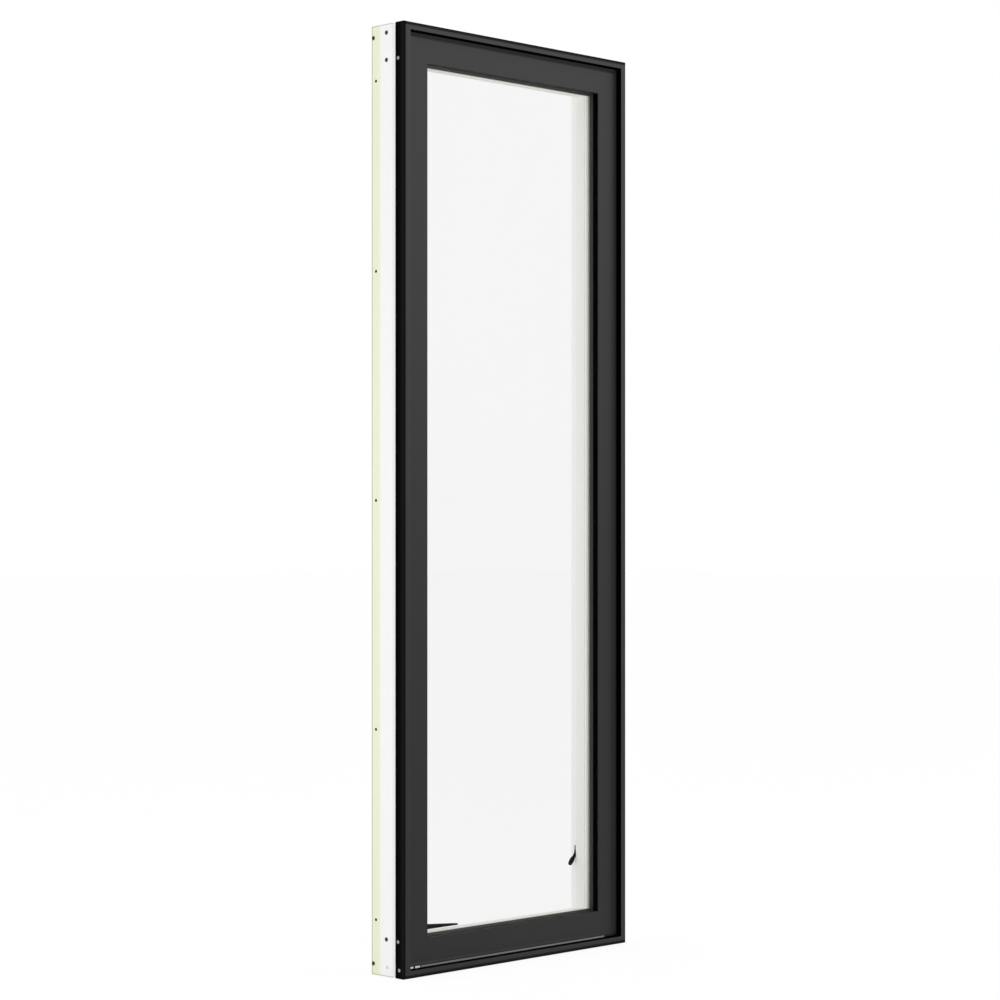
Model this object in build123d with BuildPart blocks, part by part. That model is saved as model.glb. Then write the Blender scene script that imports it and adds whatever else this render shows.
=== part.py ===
"""Fibreglass casement window: a tall single-sash unit with a crank operator and a jamb lock.

Millimetres, +Z up, -Y outdoors, +Y the room. The origin is at the middle of the sill's underside.
Every profile is drawn in two measures: depth, from the outdoor face towards the room, and inset,
from the frame's outer edge towards the middle of the glass.
"""

import math
import os

from build123d import *

# Overall size
WIDTH = 516.0
HEIGHT = 1506.0
DEPTH = 78.0

# Frame: three profiles, one behind the other, with the same outer edge
FACE_INSET = 12.4  # width of the dark outdoor face, and thickness of the frame's wall
EXTERIOR_DEPTH = 22.0
CORE_DEPTH = 34.0
WALL_REST = 6.5  # how far the room-side profile carries the wall on before its leg turns inwards
LEG_INSET = 54.2  # inner edge of that leg, which the sash closes against
GROOVE_WIDTH = 8.0  # sloped groove for accessories, round the outside of the core
GROOVE_DEPTH = 2.4
FRAME_OUTER_ROUND = 3.5
FRAME_INNER_ROUND = 0.5
LEG_ROUND = 1.5

# Sash: a dark outdoor member and a cream room-side member that also stops the glass
SASH_GAP = 1.5  # from the frame's wall to the sash's edge
RIM_DEPTH = 8.3  # how far the sash's raised rim stands behind the frame's face
RIM_WIDTH = 3.4
RIM_SLOPE_WIDTH = 3.7
RIM_SLOPE_DEPTH = 2.3
SASH_FACE_WIDTH = 38.1
SASH_LIP_THICK = 11.8
SASH_SPLIT_DEPTH = 34.0
SASH_ROUND = 0.8
REBATE_CLEAR = 2.0
STOP_PROUD = 0.9  # how far the room-side member reaches past the outdoor one
STOP_ROUND = 1.0
SEAL_GAP = 1.5  # from the sash to the frame's room-side leg, filled by a seal

# Glazing
GASKET_THICK = 4.6
GASKET_REACH = 3.4  # how far the gasket's wedge slopes out from the sash on to the glass
PANE_THICK = 3.0
CAVITY = 9.5
SPACER_REACH = 2.8
GLASS_BED = 11.0  # how far the glass is let into the sash

# Seals between sash and frame
OUTER_SEAL_DEPTH = 17.0
OUTER_SEAL_WIDTH = 3.0
INNER_SEAL_INSET = 34.0
INNER_SEAL_WIDTH = 8.0

# Drip strip and hinge shoes on the rim of the bottom rail
DRIP_THICK = 1.0
DRIP_HEIGHT = 2.8
DRIP_LEFT_INSET = 42.0
DRIP_RIGHT_INSET = 47.0
SHOE_SPANS = {"hinge_shoe_end": (19.0, 25.0), "hinge_shoe_bar": (29.0, 39.5)}

# Hinge tracks in the gap above and below the sash, on the left
TRACK_LENGTH = 200.0
TRACK_WIDTH = 16.0
TRACK_THICK = 1.0
TRACK_DEPTH = 21.0
TRACK_END_CLEAR = 1.0

# Screw holes in the outer sides of the jambs, as heights above the sill's underside
INSTALL_HOLE_RADIUS = 2.5
INSTALL_HOLE_LENGTH = 20.0
INSTALL_HOLE_DEPTH = 67.5
INSTALL_END_MARGIN = 87.5
INSTALL_END_STEP = 302.0

# Crank operator on the sill
CRANK_PIVOT_INSET = 99.0
CRANK_PIVOT_DEPTH = 71.2
CRANK_PIVOT_RISE = 10.0  # above the sill's room-side leg
CRANK_TILT = 4.0
CRANK_EYE_RADIUS = 4.6
CRANK_WIDTH = 8.5
CRANK_LENGTH = 82.0
CRANK_TIP_RADIUS = 1.35
CRANK_TIP_DROP = 3.25
CRANK_CHAMFER = 0.6
CRANK_PIN_RADIUS = 2.0
PIN_CLEARANCE = 0.05
TONGUE_THICK = 3.4
TONGUE_CLEARANCE = 0.3
TONGUE_RADIUS = 3.8
FORK_REACH = 8.0
BASE_LENGTH = 34.0
BASE_WIDTH = 11.0
BASE_HEIGHT = 4.5
BASE_CHAMFER = 1.5
BASE_FROM_PIVOT = 9.5

# Jamb lock on the right: a case let into the leg, with a slot that the lever swings in
LOCK_PIVOT_DEPTH = 67.8
LOCK_PIVOT_HEIGHT = 155.5
LOCK_PIVOT_SINK = 3.0  # behind the leg's inner face
LOCK_PLATE_LENGTH = 40.0
LOCK_PLATE_WIDTH = 10.0
LOCK_PLATE_THICK = 1.2
LOCK_PLATE_ROUND = 2.5
LOCK_PLATE_CHAMFER = 0.6
LOCK_CASE_WIDTH = 6.8
LOCK_CASE_HEIGHT = 26.0
LOCK_CASE_DEPTH = 9.5
LOCK_SLOT_WIDTH = 4.0
LOCK_SLOT_HEIGHT = 21.0
LOCK_SLOT_DEPTH = 8.0
LOCK_PIN_RADIUS = 2.0
LEVER_THICK = 3.2
LEVER_ANGLE = 40.0  # from straight down, swung out of the slot
LEVER_EYE_RADIUS = 3.6
LEVER_NECK_RADIUS = 2.2
LEVER_NECK_START = 7.5
LEVER_NECK_END = 11.0
LEVER_PADDLE_RADIUS = 4.6
LEVER_PADDLE_START = 19.0
LEVER_TIP_RADIUS = 3.8
LEVER_LENGTH = 29.0
LEVER_CHAMFER = 0.5

# Depths and insets that follow from the sizes above
LEG_DEPTH = EXTERIOR_DEPTH + CORE_DEPTH
LEG_FRONT_DEPTH = LEG_DEPTH + WALL_REST
SASH_INSET = FACE_INSET + SASH_GAP
RIM_INSET = SASH_INSET + RIM_WIDTH
STEP_INSET = RIM_INSET + RIM_SLOPE_WIDTH
SASH_FACE_DEPTH = RIM_DEPTH + RIM_SLOPE_DEPTH
LIP_INSET = STEP_INSET + SASH_FACE_WIDTH
LIP_DEPTH = SASH_FACE_DEPTH + SASH_LIP_THICK
GLASS_DEPTH = LIP_DEPTH + GASKET_THICK
CAVITY_DEPTH = GLASS_DEPTH + PANE_THICK
INNER_PANE_DEPTH = CAVITY_DEPTH + CAVITY
STOP_DEPTH = INNER_PANE_DEPTH + PANE_THICK
STOP_INSET = LIP_INSET + STOP_PROUD
SASH_BACK_DEPTH = LEG_FRONT_DEPTH - SEAL_GAP
GLASS_INSET = LIP_INSET - GLASS_BED
REBATE_INSET = GLASS_INSET - REBATE_CLEAR

os.makedirs("parts", exist_ok=True)


def y_at(depth):
    """Y of a depth measured from the outdoor face."""
    return depth - DEPTH / 2


def save(piece, label):
    """Names a finished piece and writes it to its own file."""
    piece.part.label = label
    export_step(piece.part, f"parts/{label}.step")


# Each side of the window: a corner, the direction along the member and the direction inwards
SIDES = {
    "sill": ((-WIDTH / 2, y_at(0), 0), (1, 0, 0), (0, 0, 1), WIDTH),
    "head": ((WIDTH / 2, y_at(0), HEIGHT), (-1, 0, 0), (0, 0, -1), WIDTH),
    "left": ((-WIDTH / 2, y_at(0), HEIGHT), (0, 0, -1), (1, 0, 0), HEIGHT),
    "right": ((WIDTH / 2, y_at(0), 0), (0, 0, 1), (-1, 0, 0), HEIGHT),
}
INTO_ROOM = Vector(0, 1, 0)

# The lock's own planes: one on the leg's inner face, one through the lever along its length
lock_face = Plane(
    origin=(WIDTH / 2 - LEG_INSET, y_at(LOCK_PIVOT_DEPTH), LOCK_PIVOT_HEIGHT),
    x_dir=(0, 1, 0),
    z_dir=(-1, 0, 0),
)
lever_lean = math.radians(LEVER_ANGLE)
lever_plane = Plane(
    origin=lock_face.origin - lock_face.z_dir * LOCK_PIVOT_SINK,
    x_dir=(-math.sin(lever_lean), 0, -math.cos(lever_lean)),
    z_dir=(0, 1, 0),
)


def mitred_member(label, side, outline, rounds, hole_heights=(), lock_pocket=False):
    """One bar of a frame: an outline of (depth, inset) points along one side, mitred at both ends.

    rounds lists (corner of the outline, radius). hole_heights drills the bar's outer side.
    """
    corner, along, inwards, length = SIDES[side]
    start, along, inwards = Vector(*corner), Vector(*along), Vector(*inwards)
    with BuildPart() as member:
        with BuildSketch(Plane(origin=start, x_dir=INTO_ROOM, z_dir=along)) as profile:
            with BuildLine():
                Polyline(*outline, close=True)
            make_face()
            for point, radius in rounds:
                fillet(profile.vertices().sort_by_distance((*point, 0))[0], radius)
        extrude(amount=length)
        near_mitre = Plane(origin=start, x_dir=INTO_ROOM, z_dir=along - inwards)
        split(bisect_by=near_mitre, keep=Keep.TOP)
        far_mitre = Plane(origin=start + along * length, x_dir=INTO_ROOM, z_dir=-along - inwards)
        split(bisect_by=far_mitre, keep=Keep.TOP)
        for height in hole_heights:
            mouth = Vector(start.X, y_at(INSTALL_HOLE_DEPTH), height)
            with Locations(Plane(origin=mouth, z_dir=-inwards)):
                Hole(INSTALL_HOLE_RADIUS, depth=INSTALL_HOLE_LENGTH)
        if lock_pocket:
            with BuildSketch(lock_face):
                Rectangle(LOCK_CASE_WIDTH, LOCK_CASE_HEIGHT)
            extrude(amount=-LOCK_CASE_DEPTH, mode=Mode.SUBTRACT)
    save(member, label)


def pane_plane(depth):
    """The window's own plane at a depth, centred on the glass and facing outdoors."""
    return Plane(origin=(0, y_at(depth), HEIGHT / 2), x_dir=(1, 0, 0), z_dir=(0, -1, 0))


def ring(label, depth, thickness, outer_inset, inner_inset):
    """A flat rectangular ring that follows the frame at a given depth."""
    with BuildPart() as loop:
        with BuildSketch(pane_plane(depth)):
            Rectangle(WIDTH - 2 * outer_inset, HEIGHT - 2 * outer_inset)
            Rectangle(WIDTH - 2 * inner_inset, HEIGHT - 2 * inner_inset, mode=Mode.SUBTRACT)
        extrude(amount=-thickness)
    save(loop, label)


# Frame profiles
exterior_outline = [
    (0, 0),
    (0, FACE_INSET),
    (EXTERIOR_DEPTH, FACE_INSET),
    (EXTERIOR_DEPTH, 0),
]
exterior_rounds = [((0, 0), FRAME_OUTER_ROUND), ((0, FACE_INSET), FRAME_INNER_ROUND)]

core_outline = [
    (EXTERIOR_DEPTH, GROOVE_DEPTH),
    (EXTERIOR_DEPTH, FACE_INSET),
    (LEG_DEPTH, FACE_INSET),
    (LEG_DEPTH, 0),
    (EXTERIOR_DEPTH + GROOVE_WIDTH, 0),
]

leg_outline = [
    (LEG_DEPTH, 0),
    (LEG_DEPTH, FACE_INSET),
    (LEG_FRONT_DEPTH, FACE_INSET),
    (LEG_FRONT_DEPTH, LEG_INSET),
    (DEPTH, LEG_INSET),
    (DEPTH, 0),
]
leg_rounds = [
    ((LEG_FRONT_DEPTH, LEG_INSET), FRAME_INNER_ROUND),
    ((DEPTH, LEG_INSET), LEG_ROUND),
    ((DEPTH, 0), LEG_ROUND),
]

install_heights = [
    INSTALL_END_MARGIN,
    INSTALL_END_MARGIN + INSTALL_END_STEP,
    HEIGHT / 2,
    HEIGHT - INSTALL_END_MARGIN - INSTALL_END_STEP,
    HEIGHT - INSTALL_END_MARGIN,
]

# Sash profiles
sash_outline = [
    (RIM_DEPTH, SASH_INSET),
    (RIM_DEPTH, RIM_INSET),
    (SASH_FACE_DEPTH, STEP_INSET),
    (SASH_FACE_DEPTH, LIP_INSET),
    (LIP_DEPTH, LIP_INSET),
    (LIP_DEPTH, REBATE_INSET),
    (SASH_SPLIT_DEPTH, REBATE_INSET),
    (SASH_SPLIT_DEPTH, SASH_INSET),
]
sash_rounds = [
    ((RIM_DEPTH, SASH_INSET), FRAME_INNER_ROUND),
    ((SASH_FACE_DEPTH, LIP_INSET), SASH_ROUND),
]
stop_outline = [
    (SASH_SPLIT_DEPTH, SASH_INSET),
    (SASH_SPLIT_DEPTH, REBATE_INSET),
    (STOP_DEPTH, REBATE_INSET),
    (STOP_DEPTH, STOP_INSET),
    (SASH_BACK_DEPTH, STOP_INSET),
    (SASH_BACK_DEPTH, SASH_INSET),
]
stop_rounds = [((SASH_BACK_DEPTH, STOP_INSET), STOP_ROUND)]

FRAME_NAMES = {"sill": "sill", "head": "head", "left": "left_jamb", "right": "right_jamb"}
SASH_NAMES = {"sill": "bottom_rail", "head": "top_rail", "left": "hinge_stile", "right": "lock_stile"}

for side, name in FRAME_NAMES.items():
    drilled = install_heights if side in ("left", "right") else ()
    mitred_member(f"frame_{name}_exterior", side, exterior_outline, exterior_rounds)
    mitred_member(f"frame_{name}_core", side, core_outline, [])
    mitred_member(f"frame_{name}_interior", side, leg_outline, leg_rounds, drilled, side == "right")

for side, name in SASH_NAMES.items():
    mitred_member(f"sash_{name}_exterior", side, sash_outline, sash_rounds)
    mitred_member(f"sash_{name}_interior", side, stop_outline, stop_rounds)

# Sealed glass unit, its wedge gasket and the seals between sash and frame
for label, depth in (("glass_outer_pane", GLASS_DEPTH), ("glass_inner_pane", INNER_PANE_DEPTH)):
    with BuildPart() as pane:
        with BuildSketch(pane_plane(depth)):
            Rectangle(WIDTH - 2 * GLASS_INSET, HEIGHT - 2 * GLASS_INSET)
        extrude(amount=-PANE_THICK)
    save(pane, label)

with BuildPart() as gasket:
    with BuildSketch(pane_plane(LIP_DEPTH)):
        Rectangle(WIDTH - 2 * GLASS_INSET, HEIGHT - 2 * GLASS_INSET)
    extrude(amount=-GASKET_THICK)
    for depth, inset in ((LIP_DEPTH, LIP_INSET), (GLASS_DEPTH, LIP_INSET + GASKET_REACH)):
        with BuildSketch(pane_plane(depth)):
            Rectangle(WIDTH - 2 * inset, HEIGHT - 2 * inset)
    loft(mode=Mode.SUBTRACT)
save(gasket, "glazing_gasket")

ring("glass_spacer", CAVITY_DEPTH, CAVITY, GLASS_INSET, LIP_INSET + SPACER_REACH)
ring("outer_weather_seal", OUTER_SEAL_DEPTH, OUTER_SEAL_WIDTH, FACE_INSET, SASH_INSET)
ring(
    "inner_weather_seal",
    SASH_BACK_DEPTH,
    SEAL_GAP,
    INNER_SEAL_INSET,
    INNER_SEAL_INSET + INNER_SEAL_WIDTH,
)

# Drip strip and hinge shoes: thin metal plates in one row on the flat of the bottom rail's rim
rim_row = {"sash_drip_strip": (DRIP_LEFT_INSET, WIDTH - DRIP_RIGHT_INSET), **SHOE_SPANS}
rim_middle = SASH_INSET + RIM_WIDTH / 2
for label, (first, last) in rim_row.items():
    with BuildPart() as strip:
        with BuildSketch(pane_plane(RIM_DEPTH)):
            with Locations(((first + last - WIDTH) / 2, rim_middle - HEIGHT / 2)):
                Rectangle(last - first, DRIP_HEIGHT)
        extrude(amount=DRIP_THICK)
    save(strip, label)

# Hinge tracks: a steel strip on the frame's wall; inwards is +1 above the sill, -1 below the head
for label, wall_z, inwards in (
    ("hinge_track_bottom", FACE_INSET, 1),
    ("hinge_track_top", HEIGHT - FACE_INSET, -1),
):
    track_middle = -WIDTH / 2 + FACE_INSET + TRACK_END_CLEAR + TRACK_LENGTH / 2
    with BuildPart() as track:
        with BuildSketch(Plane.XY.offset(wall_z)):
            with Locations((track_middle, y_at(TRACK_DEPTH + TRACK_WIDTH / 2))):
                Rectangle(TRACK_LENGTH, TRACK_WIDTH)
        extrude(amount=TRACK_THICK * inwards)
    save(track, label)

# Crank operator: the pivot's own plane, x along the folded handle and z out of the handle's back
tilt = math.radians(CRANK_TILT)
crank_pivot = Vector(
    -WIDTH / 2 + CRANK_PIVOT_INSET,
    y_at(CRANK_PIVOT_DEPTH),
    LEG_INSET + CRANK_PIVOT_RISE,
)
spindle = Vector(0, math.sin(tilt), math.cos(tilt))
crank_plane = Plane(origin=crank_pivot, x_dir=(1, 0, 0), z_dir=spindle)
side_plane = Plane(origin=crank_pivot, x_dir=(1, 0, 0), z_dir=-crank_plane.y_dir)

with BuildPart() as base:
    with BuildSketch(Plane.XY.offset(LEG_INSET)):
        with Locations((crank_pivot.X - BASE_FROM_PIVOT - BASE_LENGTH / 2, crank_pivot.Y)):
            RectangleRounded(BASE_LENGTH, BASE_WIDTH, BASE_WIDTH / 3)
    extrude(amount=BASE_HEIGHT)
    chamfer(base.faces().sort_by(Axis.Z)[-1].edges(), BASE_CHAMFER)
    with BuildSketch(side_plane):
        foot_drop = CRANK_PIVOT_RISE - BASE_HEIGHT / 2
        Circle(TONGUE_RADIUS)
        with BuildLine():
            Polyline(
                (0, TONGUE_RADIUS),
                (-BASE_FROM_PIVOT - BASE_LENGTH / 2, -foot_drop),
                (-BASE_FROM_PIVOT - BASE_CHAMFER, -foot_drop),
                (0, -TONGUE_RADIUS),
                close=True,
            )
        make_face()
    extrude(amount=TONGUE_THICK / 2, both=True)
    with BuildSketch(side_plane):
        Circle(CRANK_PIN_RADIUS)
    extrude(amount=CRANK_WIDTH / 2, both=True)
save(base, "crank_base")

with BuildPart() as handle:
    with BuildSketch(side_plane):
        Circle(CRANK_EYE_RADIUS)
        with Locations((CRANK_LENGTH - CRANK_TIP_RADIUS, -CRANK_TIP_DROP)):
            Circle(CRANK_TIP_RADIUS)
        make_hull()
    extrude(amount=CRANK_WIDTH / 2, both=True)
    chamfer(handle.faces().filter_by(side_plane).edges(), CRANK_CHAMFER)
    with BuildSketch(side_plane):
        Circle(FORK_REACH)
    extrude(amount=TONGUE_THICK / 2 + TONGUE_CLEARANCE, both=True, mode=Mode.SUBTRACT)
    with BuildSketch(side_plane):
        Circle(CRANK_PIN_RADIUS + PIN_CLEARANCE)
    extrude(amount=CRANK_WIDTH, both=True, mode=Mode.SUBTRACT)
save(handle, "crank_handle")

# Jamb lock: a slotted plate with its case in the leg's pocket, a pin across the slot, and the lever
with BuildPart() as plate:
    with BuildSketch(lock_face):
        RectangleRounded(LOCK_PLATE_WIDTH, LOCK_PLATE_LENGTH, LOCK_PLATE_ROUND)
    extrude(amount=LOCK_PLATE_THICK)
    chamfer(plate.faces().sort_by(Axis.X)[0].edges(), LOCK_PLATE_CHAMFER)
    with BuildSketch(lock_face):
        Rectangle(LOCK_CASE_WIDTH, LOCK_CASE_HEIGHT)
    extrude(amount=-LOCK_CASE_DEPTH)
    with BuildSketch(lock_face.offset(LOCK_PLATE_THICK)):
        Rectangle(LOCK_SLOT_WIDTH, LOCK_SLOT_HEIGHT)
    extrude(amount=-LOCK_PLATE_THICK - LOCK_SLOT_DEPTH, mode=Mode.SUBTRACT)
    with BuildSketch(lever_plane):
        Circle(LOCK_PIN_RADIUS)
    extrude(amount=LOCK_CASE_WIDTH / 2, both=True)
save(plate, "lock_plate")


def link(first, first_radius, last, last_radius):
    """A flat link along the lever: the hull of a circle at each of two distances from the pivot."""
    with BuildSketch(mode=Mode.PRIVATE) as outline:
        with Locations((first, 0)):
            Circle(first_radius)
        with Locations((last, 0)):
            Circle(last_radius)
        make_hull()
    return outline.sketch


with BuildPart() as lever:
    with BuildSketch(lever_plane):
        lever_tip = LEVER_LENGTH - LEVER_TIP_RADIUS
        add(link(0, LEVER_EYE_RADIUS, LEVER_NECK_START, LEVER_NECK_RADIUS))
        add(link(LEVER_NECK_START, LEVER_NECK_RADIUS, LEVER_NECK_END, LEVER_NECK_RADIUS))
        add(link(LEVER_NECK_END, LEVER_NECK_RADIUS, LEVER_PADDLE_START, LEVER_PADDLE_RADIUS))
        add(link(LEVER_PADDLE_START, LEVER_PADDLE_RADIUS, lever_tip, LEVER_TIP_RADIUS))
    extrude(amount=LEVER_THICK / 2, both=True)
    chamfer(lever.faces().filter_by(lever_plane).edges(), LEVER_CHAMFER)
    with BuildSketch(lever_plane):
        Circle(LOCK_PIN_RADIUS + PIN_CLEARANCE)
    extrude(amount=LEVER_THICK, both=True, mode=Mode.SUBTRACT)
save(lever, "lock_lever")
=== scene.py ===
# %% [markdown]
# # A fibreglass casement window
# The window is a tall frame with one sash that cranks outwards. Outdoors it is a dark satin coating, in
# the middle it is bare white profile, and on the room side it is cream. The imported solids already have
# every shape that moves or carries load, so this lesson dresses them: a camera, a plain studio, one
# finish for each material, and the small screws that hold the corners together.

import math

import bmesh
import bpy
from mathutils import Matrix, Vector


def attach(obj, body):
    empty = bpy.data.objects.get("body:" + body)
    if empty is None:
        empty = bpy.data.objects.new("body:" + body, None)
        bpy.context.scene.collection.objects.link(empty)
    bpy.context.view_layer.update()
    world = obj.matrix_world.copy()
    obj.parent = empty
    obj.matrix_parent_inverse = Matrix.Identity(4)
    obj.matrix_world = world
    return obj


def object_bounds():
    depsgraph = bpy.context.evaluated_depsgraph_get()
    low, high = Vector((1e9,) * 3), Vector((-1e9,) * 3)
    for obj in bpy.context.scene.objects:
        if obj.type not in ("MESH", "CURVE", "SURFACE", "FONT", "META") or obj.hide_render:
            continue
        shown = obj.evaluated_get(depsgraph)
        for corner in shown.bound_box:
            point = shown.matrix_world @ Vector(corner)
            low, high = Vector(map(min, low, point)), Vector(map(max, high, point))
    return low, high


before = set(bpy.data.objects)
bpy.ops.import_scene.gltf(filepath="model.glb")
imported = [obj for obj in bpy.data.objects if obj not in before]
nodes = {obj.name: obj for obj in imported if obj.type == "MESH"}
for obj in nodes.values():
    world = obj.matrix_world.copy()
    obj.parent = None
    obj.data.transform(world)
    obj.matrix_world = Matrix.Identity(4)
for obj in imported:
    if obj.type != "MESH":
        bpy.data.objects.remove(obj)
cad_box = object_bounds()
scene = bpy.context.scene
print("solids:", len(nodes), "box:", [[round(value, 4) for value in corner] for corner in cad_box])

# %% [markdown]
# ## The camera
# All upright edges of the photo are parallel, so the camera was level. It stood a little under half of
# the window's height, four metres off, and looked across the window's corner at 45 degrees. Tilting the
# camera could frame the same view, but upright edges would then lean together. A small vertical shift of
# the lens moves the picture instead and keeps them upright.

# %% Camera
EYE = Vector((-3.0051, -2.997, 0.7065))
SENSOR_MM = 36.0
LENS_MM = 92.58
LEVEL_LINE_SHIFT = 0.0297
FAR_ENOUGH = 100.0
LOOK_LEVEL = math.radians(90)
LOOK_ACROSS = math.radians(-45)

camera_data = bpy.data.cameras.new("camera")
camera_data.sensor_width = SENSOR_MM
camera_data.lens = LENS_MM
camera_data.shift_y = LEVEL_LINE_SHIFT
camera_data.clip_end = FAR_ENOUGH
camera = bpy.data.objects.new("camera", camera_data)
camera.location = EYE
camera.rotation_euler = (LOOK_LEVEL, 0, LOOK_ACROSS)
scene.collection.objects.link(camera)
scene.camera = camera
scene.view_settings.view_transform = "Standard"
print("camera at", [round(value, 3) for value in EYE])

# %% [markdown]
# ## Writing shader maths as Python
# Node trees are quicker to read as expressions. `Socket` wraps one output of a node and gives it the
# usual operators, so `1 - mask` adds the Math node by itself. `Finish` holds one material (or the world)
# and has a single method that adds any other kind of node; its other methods are short names for the
# nodes that come up again and again.


# %% Sockets
class Socket:
    """One output socket that Python's operators work on."""

    def __init__(self, finish, link):
        self.finish = finish
        self.link = link

    def maths(self, operation, first, second):
        return self.finish.node("ShaderNodeMath", {"operation": operation}, {0: first, 1: second})

    def __add__(self, other):
        return self.maths("ADD", self, other)

    def __radd__(self, other):
        return self.maths("ADD", other, self)

    def __sub__(self, other):
        return self.maths("SUBTRACT", self, other)

    def __rsub__(self, other):
        return self.maths("SUBTRACT", other, self)

    def __mul__(self, other):
        return self.maths("MULTIPLY", self, other)

    def __rmul__(self, other):
        return self.maths("MULTIPLY", other, self)

    def __gt__(self, other):
        return self.maths("GREATER_THAN", self, other)

    def __lt__(self, other):
        return self.maths("LESS_THAN", self, other)


print("sockets take + - * > <")


# %% Finishes
class Finish:
    """A node tree under construction: a material, or the world."""

    def __init__(self, name, owner=None):
        self.owner = owner or bpy.data.materials.new(name)
        self.owner.use_nodes = True
        self.tree = self.owner.node_tree
        self.tree.nodes.clear()

    def node(self, kind, settings=None, sockets=None, out=0):
        """Adds a node: settings are set first, then each socket gets a value or a link."""
        node = self.tree.nodes.new(kind)
        for key, value in (settings or {}).items():
            setattr(node, key, value)
        for key, value in (sockets or {}).items():
            if isinstance(value, Socket):
                self.tree.links.new(value.link, node.inputs[key])
            else:
                node.inputs[key].default_value = value
        return Socket(self, node.outputs[out])

    def place(self, scale=(1, 1, 1)):
        """Object coordinates in metres, stretched by a scale for each axis."""
        coordinates = self.node("ShaderNodeTexCoord", out="Object")
        return self.node("ShaderNodeMapping", None, {"Vector": coordinates, "Scale": scale})

    def axis(self, letter):
        """One Object coordinate, in metres."""
        coordinates = self.node("ShaderNodeTexCoord", out="Object")
        return self.node("ShaderNodeSeparateXYZ", None, {0: coordinates}, out=letter)

    def noise(self, scale, stretch=(1, 1, 1), detail=2.0):
        """Noise from 0 to 1, stretched along one axis where a finish has a grain."""
        sockets = {"Vector": self.place(stretch), "Scale": scale, "Detail": detail}
        return self.node("ShaderNodeTexNoise", {"noise_dimensions": "3D"}, sockets)

    def ramp(self, value, low, high):
        """A number eased from 0 to 1 between two limits."""
        settings = {"interpolation_type": "SMOOTHSTEP", "clamp": True}
        return self.node("ShaderNodeMapRange", settings, {"Value": value, 1: low, 2: high})

    def blend(self, factor, first, second):
        """A colour between two others."""
        sockets = {0: factor, 6: first, 7: second}
        return self.node("ShaderNodeMix", {"data_type": "RGBA"}, sockets, out=2)

    def bump(self, height, distance):
        """Fine relief: a height from 0 to 1 that stands for a distance in metres."""
        return self.node("ShaderNodeBump", None, {"Height": height, "Distance": distance})

    def surface(self, **sockets):
        """Ends the tree in a Principled shader; underscores in names stand for spaces."""
        named = {key.replace("_", " "): value for key, value in sockets.items()}
        self.output(self.node("ShaderNodeBsdfPrincipled", None, named))
        return self.owner

    def output(self, shader, kind="ShaderNodeOutputMaterial"):
        end = self.tree.nodes.new(kind)
        self.tree.links.new(shader.link, end.inputs["Surface"])


def rgba(red, green, blue):
    """An opaque colour, as sockets take it."""
    return (red, green, blue, 1.0)


print("finishes ready")

# %% [markdown]
# ## The studio
# The window stands on white with hardly a shadow, under very soft light. A world of full white would do
# for the background, but it would wash out the pale profiles. So the world lights the window with a
# little less, and only the rays that bring the background to the camera, straight, off a gloss or through
# glass, find plain white.

# %% World
WORLD_LIGHT = 0.80
PLAIN_WHITE = rgba(1, 1, 1)
RAY = "ShaderNodeLightPath"


def seen_by_camera(finish):
    """1 for rays that come to the camera straight, off a gloss or through glass."""
    straight = finish.node(RAY, out="Is Camera Ray")
    mirrored = finish.node(RAY, out="Is Glossy Ray")
    through = finish.node(RAY, out="Is Transmission Ray")
    return straight + mirrored + through


world = bpy.data.worlds.new("studio")
scene.world = world
sky = Finish("studio", world)
seen = seen_by_camera(sky)
strength = seen + (1 - seen) * WORLD_LIGHT
background = sky.node("ShaderNodeBackground", None, {"Color": PLAIN_WHITE, "Strength": strength})
sky.output(background, "ShaderNodeOutputWorld")
print("world light", WORLD_LIGHT)

# %% [markdown]
# ## The floor
# The floor of the photo is as white as the rest of it, yet the window should not float. White paper alone
# would look grey in this light. So what the camera sees is mostly the floor's own white glow, with a thin
# share of lit surface that takes the window's shadow. All other rays meet white paper, which throws light
# up from below.

# %% Floor
FLOOR_SIZE = 30.0
FLOOR_DROP = 0.0005
FLOOR_GLOW = 0.92
SHADOW_SHARE = rgba(0.09, 0.09, 0.09)
WHITE_PAPER = rgba(0.92, 0.92, 0.92)

floor_mesh = bpy.data.meshes.new("floor")
shape = bmesh.new()
bmesh.ops.create_grid(shape, x_segments=1, y_segments=1, size=FLOOR_SIZE)
bmesh.ops.translate(shape, verts=shape.verts, vec=(0, 0, -FLOOR_DROP))
shape.to_mesh(floor_mesh)
shape.free()
floor = bpy.data.objects.new("floor", floor_mesh)
scene.collection.objects.link(floor)

paper = Finish("floor_paper")
glow = paper.node("ShaderNodeEmission", None, {"Color": PLAIN_WHITE, "Strength": FLOOR_GLOW})
shaded = paper.node("ShaderNodeBsdfDiffuse", None, {"Color": SHADOW_SHARE})
plain = paper.node("ShaderNodeBsdfDiffuse", None, {"Color": WHITE_PAPER})
camera_side = paper.node("ShaderNodeAddShader", None, {0: glow, 1: shaded})
both_sides = {0: seen_by_camera(paper), 1: plain, 2: camera_side}
paper.output(paper.node("ShaderNodeMixShader", None, both_sides))
floor.data.materials.append(paper.owner)
print("floor glow", FLOOR_GLOW)

# %% [markdown]
# ## The lamps
# Two wide, square lamps add a little direction to the even light. The left one lights the pale side of
# the window and is kept out of reflections, which would whiten that side. The front one stands to the
# right, and the satin faces mirror it softly: they are brightest near the top and darken downwards.

# %% Lamps
LAMP_SIZE = 2.5


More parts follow.
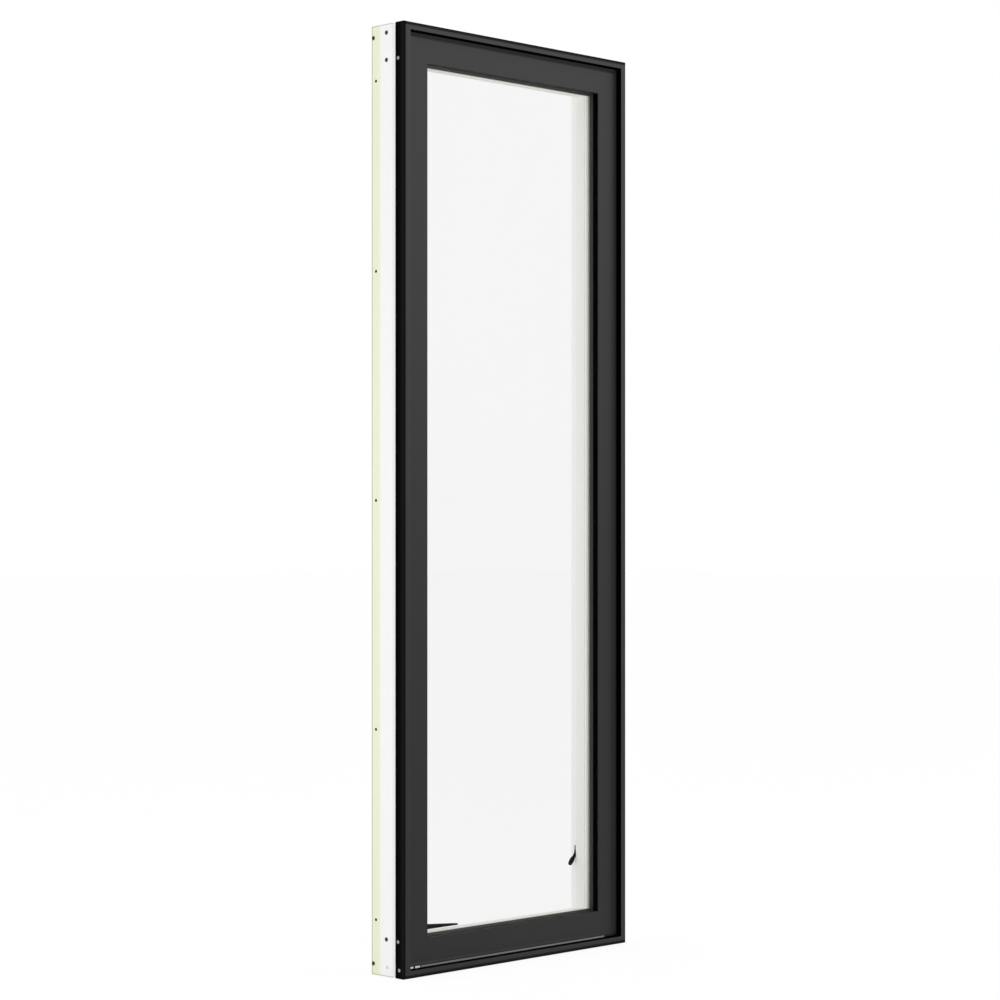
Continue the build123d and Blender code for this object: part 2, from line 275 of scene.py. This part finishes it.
def lamp(name, place, aim, watts, mirrored):
    """A square soft lamp that points at a place on the window, and may show in reflections."""
    data = bpy.data.lights.new(name, "AREA")
    data.size = LAMP_SIZE
    data.energy = watts
    light = bpy.data.objects.new(name, data)
    light.location = place
    light.visible_glossy = mirrored
    light.rotation_euler = (Vector(aim) - Vector(place)).to_track_quat("-Z", "Y").to_euler()
    scene.collection.objects.link(light)


lamp("left_softbox", place=(-2.9, 1.3, 0.2), aim=(0, 0, 0.4), watts=46, mirrored=False)
lamp("front_softbox", place=(2.1, -3.0, 2.2), aim=(0, 0, 0.9), watts=31, mirrored=True)
print("lamps:", len(bpy.data.lights))

# %% [markdown]
# ## Where a point lies on the window
# Several finishes change with the place: the coat stops where a face turns into a side, and the wall side
# has its own colour. A finish can work that out from Object coordinates, because every solid shares the
# window's frame. The distances below say how far a point lies past the window's outer edge, so they are
# negative on the window itself and nought on its outer sides.

# %% Places
HALF_WIDTH = round(cad_box[1][0], 4)
HEIGHT = round(cad_box[1][2], 4)
FRONT = round(cad_box[0][1], 4)
UPRIGHT = (1, 1, 0.006)
LEVEL = (0.006, 1, 1)
ON_THE_SIDE = -0.0003


def past(finish, letter, middle, half):
    """How far a point lies past one pair of limits along an axis, in metres."""
    away = finish.node("ShaderNodeMath", {"operation": "ABSOLUTE"}, {0: finish.axis(letter) - middle})
    return away - half


def past_jamb_side(finish):
    return past(finish, "X", 0.0, HALF_WIDTH)


def past_level_edge(finish):
    return past(finish, "Z", HEIGHT / 2, HEIGHT / 2)


def past_any_edge(finish):
    edges = {0: past_jamb_side(finish), 1: past_level_edge(finish)}
    return finish.node("ShaderNodeMath", {"operation": "MAXIMUM"}, edges)


def streaks(finish, grain):
    """The long fine lines that a die leaves along a bar."""
    return finish.noise(scale=900.0, stretch=grain, detail=3.0)


def orange_peel(finish):
    """The fine unevenness of a sprayed coat."""
    return finish.noise(scale=420.0, detail=1.0)


print("window:", 2 * HALF_WIDTH, "by", HEIGHT, "m")

# %% [markdown]
# ## The dark coat
# The profiles are drawn through a die, so their texture runs along the bar: upright and level bars take
# the same finish with the grain turned. The outdoor profiles are sprayed from the front. Their faces get a
# satin film, and the sides behind them stay dull and almost black, but for painted light: a painted sheen
# on the outer sides near the front, and painted light that makes the inner sides of the level sash bars
# charcoal. Two materials for each bar would mean changing the solids, so one finish asks how deep a point
# lies. The film is a clear coat over a dark base, because a coat's weight may change from place to place:
# here it is thinner on the sash's rim and along the outer edges of the head and the sill.

# %% Dark coat
NEARLY_BLACK = rgba(0.0010, 0.0010, 0.0012)
# painted light for the inner sides of the level sash bars, which the uprights show nearly black
PAINTED_LIGHT_CHARCOAL = rgba(0.028, 0.028, 0.027)
DARK_COAT = (rgba(0.0020, 0.0020, 0.0026), rgba(0.0030, 0.0030, 0.0037))
# painted sheen on the dark outer sides, lightest near the front and fading out by the second depth
SIDE_SHEEN_PAINT = rgba(0.0085, 0.0085, 0.0090)
SIDE_SHEEN_DEPTH = (0.002, 0.016)
SPRAY_FADE = 0.0012
FRAME_FACE_END = 0.0003
SASH_FACE_END = 0.0110
FRAME_FILM = 0.97
SASH_FILM = 0.88
# which edge, how far inside it the thinning starts and ends, and the share of film that is lost
FRAME_EDGE = (past_level_edge, 0.0075, 0.0038, 0.82)
SASH_RIM = (past_any_edge, 0.0215, 0.0170, 0.5)


def dark_coat(name, grain, face_end, inner_side, film, thinned):
    """The film ends at the depth face_end; between two distances from an edge it loses a share."""
    finish = Finish(name)
    cloud = finish.noise(scale=7.0, detail=3.0)
    streak = streaks(finish, grain)
    depth = finish.axis("Y") - FRONT
    sprayed = 1 - finish.ramp(depth, face_end, face_end + SPRAY_FADE)
    edge, start, end, share = thinned
    left_over = 1 - share * finish.ramp(edge(finish), -start, -end)
    # painted sheen: the outer sides are painted a little lighter near the front, then nearly black further
    # back
    outer_side = finish.blend(finish.ramp(depth, *SIDE_SHEEN_DEPTH), SIDE_SHEEN_PAINT, NEARLY_BLACK)
    colour = finish.blend(sprayed, inner_side, finish.blend(cloud, *DARK_COAT))
    colour = finish.blend(past_any_edge(finish) > ON_THE_SIDE, colour, outer_side)
    return finish.surface(
        Base_Color=colour,
        Roughness=0.50 + 0.10 * streak,
        Specular_IOR_Level=0.01,
        Coat_Weight=sprayed * left_over * (film + 0.03 * streak),
        Coat_Roughness=0.46,
        Coat_IOR=1.42,
        Normal=finish.bump(orange_peel(finish) + 0.5 * streak, distance=0.00004),
    )


finishes = {}
# the inner sides of the level sash bars get painted light: charcoal instead of nearly black
for way, grain, inner_side in (("upright", UPRIGHT, NEARLY_BLACK), ("level", LEVEL, PAINTED_LIGHT_CHARCOAL)):
    finishes["frame_exterior", way] = dark_coat(
        f"dark_frame_{way}", grain, FRAME_FACE_END, NEARLY_BLACK, FRAME_FILM, FRAME_EDGE
    )
    finishes["sash_exterior", way] = dark_coat(
        f"dark_sash_{way}", grain, SASH_FACE_END, inner_side, SASH_FILM, SASH_RIM
    )
print("dark finishes:", len(finishes))

# %% [markdown]
# ## The pale coats
# The core is bare white profile and the sash's room side is a pale cream. The bar nearest the room has
# three tones: cream where the wall hides it, nearly white on the return that shows through the glass, and
# a soft cream on the face towards the room. Painting them on the mesh would change the solids too, so
# again the finish works them out from the place. Each tone is a little cloudy and streaky, never one flat
# colour. A thin line of painted shade runs along the cut ends of the upright bars and along the back edge,
# and painted shade darkens the inside of the screw holes.

# %% White and cream coats
WHITE = (rgba(0.855, 0.855, 0.854), rgba(0.885, 0.885, 0.884))
PALE_CREAM = (rgba(0.90, 0.90, 0.85), rgba(0.93, 0.93, 0.88))
CREAM = (rgba(0.765, 0.800, 0.590), rgba(0.795, 0.830, 0.620))
ROOM_WHITE = (rgba(0.94, 0.94, 0.92), rgba(0.96, 0.96, 0.94))
ROOM_CREAM = (rgba(0.83, 0.83, 0.74), rgba(0.86, 0.86, 0.77))
SHADE = rgba(0.22, 0.23, 0.18)
HOLE_SHADE = rgba(0.12, 0.12, 0.10)
# distances past the outer edge
# where the painted shade line on the cut ends begins and ends
END_SHADE_BAND = (-0.0022, -0.0010)
WALL_SIDE = -0.0045
HOLE_BOTTOM = -0.0205
# places along Y, from the core towards the room
CORE_SIDE = (0.0165, 0.0235)
BACK_EDGE_SHADE = (0.0362, 0.0376)
ROOM_FACE = (0.0380, 0.0388)
HOLE_PLACE = 0.0285
HOLE_RADIUS = 0.0025
HOLE_MARGIN = 0.0001


def clouded(finish, grain, tones):
    """A colour that wanders between two tones, in clouds and along the bar."""
    mottle = 0.6 * finish.noise(scale=5.0, detail=3.0) + 0.4 * streaks(finish, grain)
    return finish.blend(mottle, *tones)


def paint_end_shade(finish, grain, colour):
    """Paints a thin line of shade along the cut ends of an upright bar."""
    if grain is LEVEL:
        return colour
    return finish.blend(0.5 * finish.ramp(past_level_edge(finish), *END_SHADE_BAND), colour, SHADE)


def satin(finish, grain, colour):
    """Ends a pale coat: streaks along the bar under a fine orange peel."""
    streak = streaks(finish, grain)
    relief = finish.bump(orange_peel(finish) + 0.6 * streak, distance=0.00004)
    return finish.surface(Base_Color=colour, Roughness=0.42 + 0.14 * streak, Normal=relief)


def pale_coat(name, grain, tones):
    finish = Finish(name)
    return satin(finish, grain, paint_end_shade(finish, grain, clouded(finish, grain, tones)))


def screw_holes(finish, grain, colour):
    """Paints shade inside the installation holes, which only the upright bars have."""
    if grain is LEVEL:
        return colour
    inwards = past_jamb_side(finish)
    across = past(finish, "Y", HOLE_PLACE, HOLE_RADIUS)
    inside = (inwards < ON_THE_SIDE) * (inwards > HOLE_BOTTOM) * (across < HOLE_MARGIN)
    return finish.blend(inside, colour, HOLE_SHADE)


def room_coat(name, grain):
    """The bar nearest the room, with its three tones."""
    finish = Finish(name)
    depth = finish.axis("Y")
    near_core = 1 - finish.ramp(depth, *CORE_SIDE)
    hidden = finish.blend(0.5 * near_core, clouded(finish, grain, CREAM), WHITE[1])
    # painted shade: a thin dark line along the back edge of the bar
    hidden = finish.blend(finish.ramp(depth, *BACK_EDGE_SHADE), hidden, SHADE)
    hidden = paint_end_shade(finish, grain, hidden)
    towards_room = finish.ramp(depth, *ROOM_FACE)
    shown = finish.blend(towards_room, clouded(finish, grain, ROOM_WHITE), clouded(finish, grain, ROOM_CREAM))
    colour = finish.blend(past_any_edge(finish) > WALL_SIDE, shown, hidden)
    return satin(finish, grain, screw_holes(finish, grain, colour))


for way, grain in (("upright", UPRIGHT), ("level", LEVEL)):
    finishes["frame_core", way] = pale_coat(f"white_profile_{way}", grain, WHITE)
    finishes["frame_interior", way] = room_coat(f"cream_coat_{way}", grain)
    finishes["sash_interior", way] = pale_coat(f"pale_sash_{way}", grain, PALE_CREAM)
print("coated finishes:", len(finishes))

# %% [markdown]
# ## Dressing the bars
# A bar's name says all that is needed: whether it belongs to the frame or the sash, which side of the
# window it makes, and which layer it is. So one loop can pick the finish for each of them.


# %% Coated bars
def dress(node_name, material):
    """Gives every material slot of a solid one finish."""
    for slot in nodes[node_name].material_slots:
        slot.material = material


coated = 0
for node_name in nodes:
    way = "upright" if "jamb" in node_name or "stile" in node_name else "level"
    layer = node_name.split("_")[0] + "_" + node_name.split("_")[-1]
    if (layer, way) in finishes:
        dress(node_name, finishes[layer, way])
        coated += 1
print("coated bars:", coated)

# %% [markdown]
# ## Glass and spacer
# The panes are clear, with a trace of grey. Glass could bend the light for real, but thin flat panes hardly
# move what lies behind them, so a small Alpha does the same at less cost: each face takes two or three
# hundredths of the light, and black hardware stays black behind it. Bedded in the sash, a pane's rim is
# milky, with a painted glow that lightens it. The spacer between the panes is matt aluminium with tiny
# breathing holes, and painted shade darkens it towards the outer pane.

# %% Panes and spacer
GLASS_RIM = -0.0600
GLASS_GREY = rgba(0.010, 0.012, 0.012)
GLASS_RIM_MILK = rgba(0.84, 0.86, 0.84)
GLASS_RIM_PAINTED_GLOW = rgba(0.30, 0.30, 0.30)
SPACER_SHADE_DEPTH = (0.0290, 0.0390)
SPACER_SHADE_TONES = (rgba(0.42, 0.43, 0.38), rgba(0.97, 0.97, 0.93))
BREATHING_HOLE = rgba(0.30, 0.30, 0.28)
HOLES_PER_METRE = 260.0
HOLE_SHARE = 0.16


def clear_glass():
    finish = Finish("clear_glass")
    haze = finish.noise(scale=6.0, stretch=(1, 1, 0.4), detail=4.0)
    rim = past_any_edge(finish) > GLASS_RIM
    return finish.surface(
        Base_Color=finish.blend(rim, GLASS_GREY, GLASS_RIM_MILK),
        Roughness=0.02 + 0.04 * haze,
        Alpha=0.0225 + 0.004 * haze + 0.9 * rim,
        # painted light: the milky rim glows a little, though no lamp lights it
        Emission_Color=finish.blend(rim, rgba(0, 0, 0), GLASS_RIM_PAINTED_GLOW),
        Emission_Strength=1.0,
    )


def spacer_metal():
    finish = Finish("spacer_metal")
    cell = finish.node(
        "ShaderNodeTexVoronoi",
        {"feature": "F1", "voronoi_dimensions": "3D"},
        {"Vector": finish.place(), "Scale": HOLES_PER_METRE, "Randomness": 0.0},
    )
    hole = cell < HOLE_SHARE
    # painted shade: the spacer darkens towards the outer pane
    shaded_spacer = finish.blend(finish.ramp(finish.axis("Y") - FRONT, *SPACER_SHADE_DEPTH), *SPACER_SHADE_TONES)
    colour = finish.blend(hole, shaded_spacer, BREATHING_HOLE)
    rough = 0.45 + 0.2 * finish.noise(scale=300.0)
    return finish.surface(Base_Color=colour, Roughness=rough, Normal=finish.bump(1 - hole, distance=0.0001))


for node_name in ("glass_outer_pane", "glass_inner_pane"):
    dress(node_name, clear_glass())
dress("glass_spacer", spacer_metal())
print("finishes so far:", len(bpy.data.materials))

# %% [markdown]
# ## Rubber, metal and black hardware
# Gasket and seals are dull, slightly mottled rubber. The drip strip and the hinge pieces are brushed along
# their length: noise that is stretched one way looks like brush lines, where modelled scratches would cost
# thousands of faces. The crank and the lever have a black powder coat with a fine fleck, and the lock plate
# is painted like the bar it sits in.


# %% Rubber, metal and powder coat
def rubber(name, dark, light, roughness):
    finish = Finish(name)
    mottle = finish.noise(scale=60.0, detail=4.0)
    relief = finish.bump(finish.noise(scale=900.0), distance=0.00005)
    colour = finish.blend(mottle, dark, light)
    return finish.surface(Base_Color=colour, Roughness=roughness + 0.12 * mottle, Normal=relief)


def brushed(name, dark, light, metallic, grain, roughness):
    finish = Finish(name)
    brush = finish.noise(scale=1500.0, stretch=grain, detail=3.0)
    return finish.surface(
        Base_Color=finish.blend(brush, dark, light),
        Roughness=roughness + 0.15 * brush,
        Metallic=metallic,
        Normal=finish.bump(brush, distance=0.00003),
    )


def powder_coat(name, dark, light):
    finish = Finish(name)
    fleck = finish.noise(scale=1100.0)
    return finish.surface(
        Base_Color=finish.blend(fleck, dark, light),
        Roughness=0.55 + 0.14 * fleck,
        Specular_IOR_Level=0.15,
        Normal=finish.bump(fleck, distance=0.00006),
    )


gasket = rubber("gasket_rubber", rgba(0.018, 0.019, 0.016), rgba(0.024, 0.025, 0.021), 0.6)
seal = rubber("seal_rubber", rgba(0.004, 0.004, 0.004), rgba(0.007, 0.007, 0.007), 0.7)
drip = brushed("drip_metal", rgba(0.16, 0.16, 0.162), rgba(0.21, 0.21, 0.212), 0.3, LEVEL, 0.35)
steel = brushed("hinge_steel", rgba(0.70, 0.70, 0.69), rgba(0.84, 0.84, 0.83), 0.4, LEVEL, 0.32)
black = powder_coat("black_powder_coat", rgba(0.0015, 0.0015, 0.0017), rgba(0.0035, 0.0035, 0.0038))

SMALL_PARTS = {
    "glazing_gasket": gasket,
    "outer_weather_seal": seal,
    "inner_weather_seal": seal,
    "sash_drip_strip": drip,
    "hinge_track_bottom": steel,
    "hinge_track_top": steel,
    "hinge_shoe_end": steel,
    "hinge_shoe_bar": steel,
    "crank_base": black,
    "crank_handle": black,
    "lock_lever": black,
    "lock_plate": finishes["frame_interior", "upright"],
}
for node_name, material in SMALL_PARTS.items():
    dress(node_name, material)
print("finishes:", len(bpy.data.materials))

# %% [markdown]
# ## Corner screws
# Screws through each jamb hold the head and the sill. Each is a low round head with a square socket. A
# boolean could cut the socket, but it leaves untidy faces. Instead a head starts as a capped circle, which
# is extruded and rounded at its rim, and then the top is inset and pushed in.

# %% One screw head
SCREW_SIDES = 20
SCREW_HEIGHT = 0.0005
SOCKET_HALF = 0.0011
SOCKET_SINK = 0.0004
RIM_SHARE = 0.6
INSET_SHARE = 0.35


def screw_head(radius):
    """A screw head that stands on the XY plane, with a square socket in its top."""
    shape = bmesh.new()
    bmesh.ops.create_circle(shape, cap_ends=True, segments=SCREW_SIDES, radius=radius)
    top = bmesh.ops.extrude_face_region(shape, geom=shape.faces[:])
    raised = [part for part in top["geom"] if isinstance(part, bmesh.types.BMVert)]
    bmesh.ops.translate(shape, verts=raised, vec=(0, 0, SCREW_HEIGHT))
    lid = next(part for part in top["geom"] if isinstance(part, bmesh.types.BMFace))
    bmesh.ops.bevel(
        shape,
        geom=lid.edges[:],
        offset=SCREW_HEIGHT * RIM_SHARE,
        segments=3,
        profile=0.5,
        affect="EDGES",
        material=-1,
    )
    shape.faces.ensure_lookup_table()
    lid = max(shape.faces, key=lambda face: (round(face.calc_center_median().z, 7), face.calc_area()))
    bmesh.ops.inset_region(shape, faces=[lid], thickness=radius * INSET_SHARE, use_even_offset=True)
    for corner in lid.verts:
        away = max(abs(corner.co.x), abs(corner.co.y))
        corner.co.x *= SOCKET_HALF / away
        corner.co.y *= SOCKET_HALF / away
    pushed = bmesh.ops.extrude_face_region(shape, geom=[lid])
    lowered = [part for part in pushed["geom"] if isinstance(part, bmesh.types.BMVert)]
    bmesh.ops.translate(shape, verts=lowered, vec=(0, 0, -SOCKET_SINK))
    bmesh.ops.delete(shape, geom=[lid], context="FACES_ONLY")
    bmesh.ops.recalc_face_normals(shape, faces=shape.faces[:])
    return shape


print("screw head:", SCREW_SIDES, "sides")

# %% [markdown]
# The photo shows three kinds on the near jamb: dark heads in the pale bars, zinc heads in the dark bar and
# one pale head low down. Their places are written as a depth behind the front and a height, and the far
# jamb takes the same by symmetry. All screws of one kind on one jamb make one piece.

# %% Screws on both jambs
GRAINLESS = (1, 1, 1)
screw_zinc = brushed("screw_zinc", rgba(0.30, 0.30, 0.30), rgba(0.42, 0.42, 0.41), 0.6, GRAINLESS, 0.35)
screw_pale = brushed("screw_pale", rgba(0.62, 0.62, 0.61), rgba(0.74, 0.74, 0.73), 0.3, GRAINLESS, 0.4)
screw_dark = brushed("screw_dark", rgba(0.012, 0.012, 0.012), rgba(0.03, 0.03, 0.03), 0.4, GRAINLESS, 0.4)

SCREWS = {
    "dark": [
        (0.0429, HEIGHT - 0.0138),
        (0.0429, HEIGHT - 0.0570),
        (0.0429, 0.0589),
        (0.0735, HEIGHT - 0.0185),
        (0.0735, 0.0175),
    ],
    "zinc": [(0.0157, HEIGHT - 0.0572), (0.0157, 0.0580), (0.0130, 0.0133)],
    "pale": [(0.0410, 0.0149)],
}
HEADS = {"dark": (screw_dark, 0.0034), "zinc": (screw_zinc, 0.0028), "pale": (screw_pale, 0.0028)}


def scatter(name, places, facing, material, radius):
    """One piece that holds a screw head at each place, all facing one way."""
    turn = Vector(facing).to_track_quat("Z", "Y").to_matrix().to_4x4()
    mesh = bpy.data.meshes.new(name)
    whole = bmesh.new()
    for place in places:
        head = screw_head(radius)
        head.transform(Matrix.Translation(place) @ turn)
        single = bpy.data.meshes.new("single")
        head.to_mesh(single)
        head.free()
        whole.from_mesh(single)
        bpy.data.meshes.remove(single)
    whole.to_mesh(mesh)
    whole.free()
    piece = bpy.data.objects.new(name, mesh)
    scene.collection.objects.link(piece)
    mesh.materials.append(material)
    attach(piece, "window")
    print(name, "heads:", len(places), "triangles:", sum(len(face.vertices) - 2 for face in mesh.polygons))
    return piece


for side, sign in (("left", -1), ("right", 1)):
    for kind, spots in SCREWS.items():
        material, radius = HEADS[kind]
        places = [(sign * HALF_WIDTH, FRONT + depth, height) for depth, height in spots]
        piece = scatter(f"{side}_jamb_{kind}_screws", places, (sign, 0, 0), material, radius)
